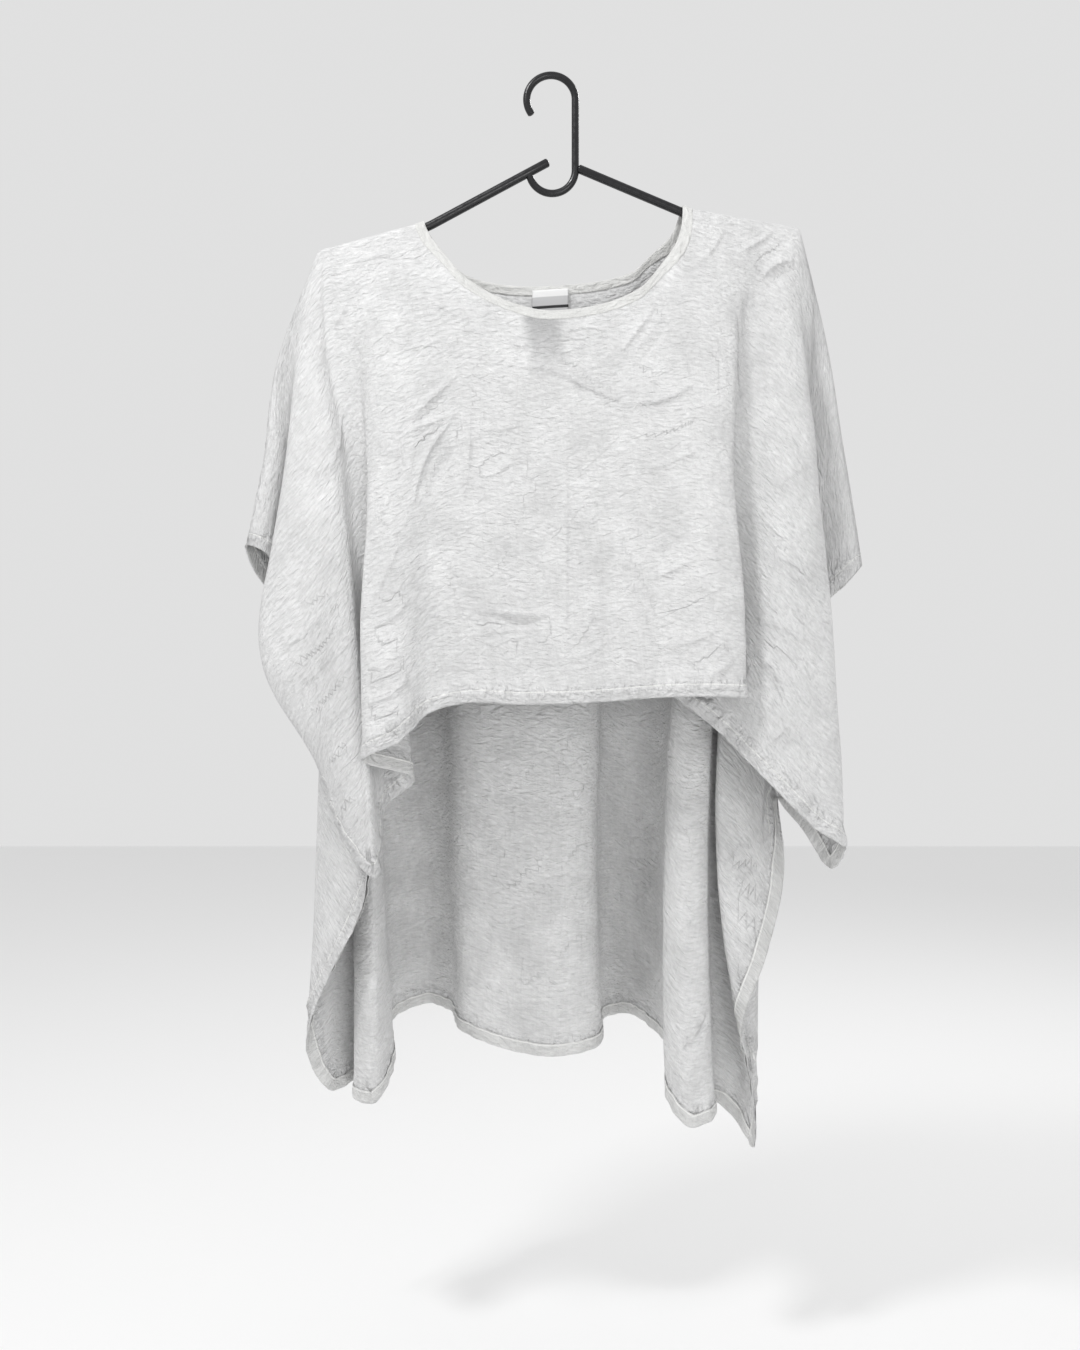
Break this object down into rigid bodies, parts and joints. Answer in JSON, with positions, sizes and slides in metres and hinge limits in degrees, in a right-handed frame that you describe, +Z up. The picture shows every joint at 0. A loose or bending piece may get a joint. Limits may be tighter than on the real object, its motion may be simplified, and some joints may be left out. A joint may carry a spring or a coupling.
{
  "type": "linen top on a hanger",
  "caption": "Wide white linen top with a round bound neck, short loose sleeves, open side slits and a back longer than the front, hanging in soft folds on a slim black hanger.",
  "frame": {"origin": "inner top of the hanger's hook, where a rail holds it", "axes": "+Z up, +X to the right of somebody facing the front, the front of the top faces -Y"},
  "size_m": [0.5359, 0.2424, 0.9384],
  "materials": {
    "linen": "matte",
    "binding": "matte",
    "label": "satin",
    "hanger": "satin"
  },
  "bodies": {
    "root": {"front_panel": "linen", "back_panel": "linen", "neck_binding": "binding", "neck_label": "label", "hanger": "hanger"}
  },
  "joints": []
}
